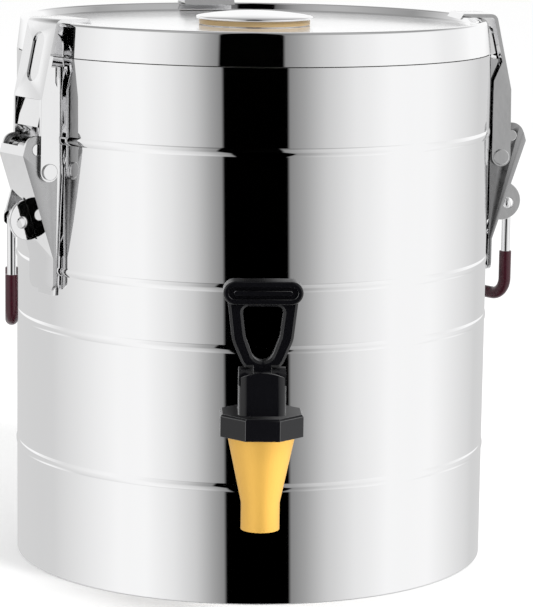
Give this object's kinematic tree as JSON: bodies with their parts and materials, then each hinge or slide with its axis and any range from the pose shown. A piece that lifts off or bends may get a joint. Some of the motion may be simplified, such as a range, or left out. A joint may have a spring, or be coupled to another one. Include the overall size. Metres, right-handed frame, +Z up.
{
  "type": "insulated beverage dispenser",
  "caption": "Polished steel insulated beverage dispenser with a clamped lid, three toggle latches with carrying bails, a vent cap and a front tap.",
  "frame": {"origin": "middle of the flat underside, on the barrel's axis", "axes": "+Z up along the barrel's axis; the tap points along -Y; the nearer latch is on the side of -X"},
  "size_m": [0.2953, 0.3516, 0.3073],
  "materials": {
    "polished_steel": "mirror polished stainless steel",
    "pressed_steel": "pressed stainless steel",
    "foam": "rigid foam",
    "brass_plating": "polished gold-coloured plating",
    "black_plastic": "gloss moulded",
    "silicone": "matt",
    "maroon_plastic": "smooth sleeve"
  },
  "bodies": {
    "barrel": {"outer_shell": "polished_steel", "bottom_pan": "pressed_steel", "inner_liner": "pressed_steel", "insulation_floor": "foam", "insulation_wall": "foam", "tap_body": "brass_plating", "tap_shank": "brass_plating", "shank_outer_washer": "silicone", "shank_inner_washer": "silicone", "shank_nut": "pressed_steel", "tap_nut": "black_plastic", "tap_bonnet": "black_plastic", "tap_handle_pin": "pressed_steel", "tap_stem_gland": "silicone", "left_latch_base": "pressed_steel", "left_lever_pin": "pressed_steel", "left_lock_staple": "pressed_steel", "right_latch_base": "pressed_steel", "right_lever_pin": "pressed_steel", "right_lock_staple": "pressed_steel", "rear_latch_base": "pressed_steel", "rear_lever_pin": "pressed_steel", "rear_lock_staple": "pressed_steel"},
    "lid": {"lid_shell": "polished_steel", "lid_pan": "pressed_steel", "lid_foam": "foam", "lid_gasket": "silicone", "vent_neck": "pressed_steel", "vent_seal": "silicone"},
    "vent_cap": {"vent_cap": "polished_steel"},
    "tap_handle": {"tap_handle": "black_plastic"},
    "tap_stem": {"tap_stem": "pressed_steel", "tap_seat_cup": "silicone"},
    "left_lever": {"left_latch_lever": "pressed_steel", "left_hook_rivets": "pressed_steel"},
    "left_hook": {"left_latch_hook": "pressed_steel"},
    "left_bail": {"left_bail": "pressed_steel", "left_bail_sleeve": "maroon_plastic"},
    "right_lever": {"right_latch_lever": "pressed_steel", "right_hook_rivets": "pressed_steel"},
    "right_hook": {"right_latch_hook": "pressed_steel"},
    "right_bail": {"right_bail": "pressed_steel", "right_bail_sleeve": "maroon_plastic"},
    "rear_lever": {"rear_latch_lever": "pressed_steel", "rear_hook_rivets": "pressed_steel"},
    "rear_hook": {"rear_latch_hook": "pressed_steel"},
    "rear_bail": {"rear_bail": "pressed_steel", "rear_bail_sleeve": "maroon_plastic"}
  },
  "joints": [
    {"name": "lid_lift", "type": "slide", "parent": "barrel", "child": "lid", "axis": [0, 0, 1], "range_m": [0, 0.15]},
    {"name": "vent_cap_pull", "type": "slide", "parent": "lid", "child": "vent_cap", "axis": [0, 0, 1], "range_m": [0, 0.04]},
    {"name": "tap_handle_tilt", "type": "hinge", "parent": "barrel", "child": "tap_handle", "pos_m": [0, -0.175, 0.129], "axis": [1, 0, 0], "range_deg": [0, 35], "stiffness_Nm_per_rad": 0.3},
    {"name": "tap_stem_lift", "type": "slide", "parent": "barrel", "child": "tap_stem", "axis": [0, 0, 1], "range_m": [0, 0.005]},
    {"name": "left_lever_open", "type": "hinge", "parent": "barrel", "child": "left_lever", "pos_m": [-0.12483, -0.078, 0.2375], "axis": [-0.5299, 0.848, 0], "range_deg": [0, 75]},
    {"name": "left_hook_swing", "type": "hinge", "parent": "left_lever", "child": "left_hook", "pos_m": [-0.11957, -0.07472, 0.2255], "axis": [-0.5299, 0.848, 0], "range_deg": [-113, 0]},
    {"name": "left_bail_swing", "type": "hinge", "parent": "left_lever", "child": "left_bail", "pos_m": [-0.13264, -0.06985, 0.1985], "axis": [-0.0523, 0.9986, 0], "range_deg": [0, 100]},
    {"name": "right_lever_open", "type": "hinge", "parent": "barrel", "child": "right_lever", "pos_m": [0.14577, 0.02049, 0.2375], "axis": [0.1392, -0.9903, 0], "range_deg": [0, 75]},
    {"name": "right_hook_swing", "type": "hinge", "parent": "right_lever", "child": "right_hook", "pos_m": [0.13963, 0.01962, 0.2255], "axis": [0.1392, -0.9903, 0], "range_deg": [-113, 0]},
    {"name": "right_bail_swing", "type": "hinge", "parent": "right_lever", "child": "right_bail", "pos_m": [0.14651, 0.03175, 0.1985], "axis": [0.6018, -0.7986, 0], "range_deg": [0, 100]},
    {"name": "rear_lever_open", "type": "hinge", "parent": "barrel", "child": "rear_lever", "pos_m": [-0.02935, 0.14424, 0.2375], "axis": [0.9799, 0.1994, 0], "range_deg": [0, 75]},
    {"name": "rear_hook_swing", "type": "hinge", "parent": "rear_lever", "child": "rear_hook", "pos_m": [-0.02811, 0.13817, 0.2255], "axis": [0.9799, 0.1994, 0], "range_deg": [-113, 0]},
    {"name": "rear_bail_swing", "type": "hinge", "parent": "rear_lever", "child": "rear_bail", "pos_m": [-0.04063, 0.1443, 0.1985], "axis": [0.7604, 0.6494, 0], "range_deg": [0, 100]}
  ],
  "couplings": [
    {"joint": "tap_stem_lift", "follows": "tap_handle_tilt", "m_per_rad": 0.008},
    {"joint": "left_hook_swing", "follows": "left_lever_open", "ratio": -1.5},
    {"joint": "right_hook_swing", "follows": "right_lever_open", "ratio": -1.5},
    {"joint": "rear_hook_swing", "follows": "rear_lever_open", "ratio": -1.5}
  ]
}
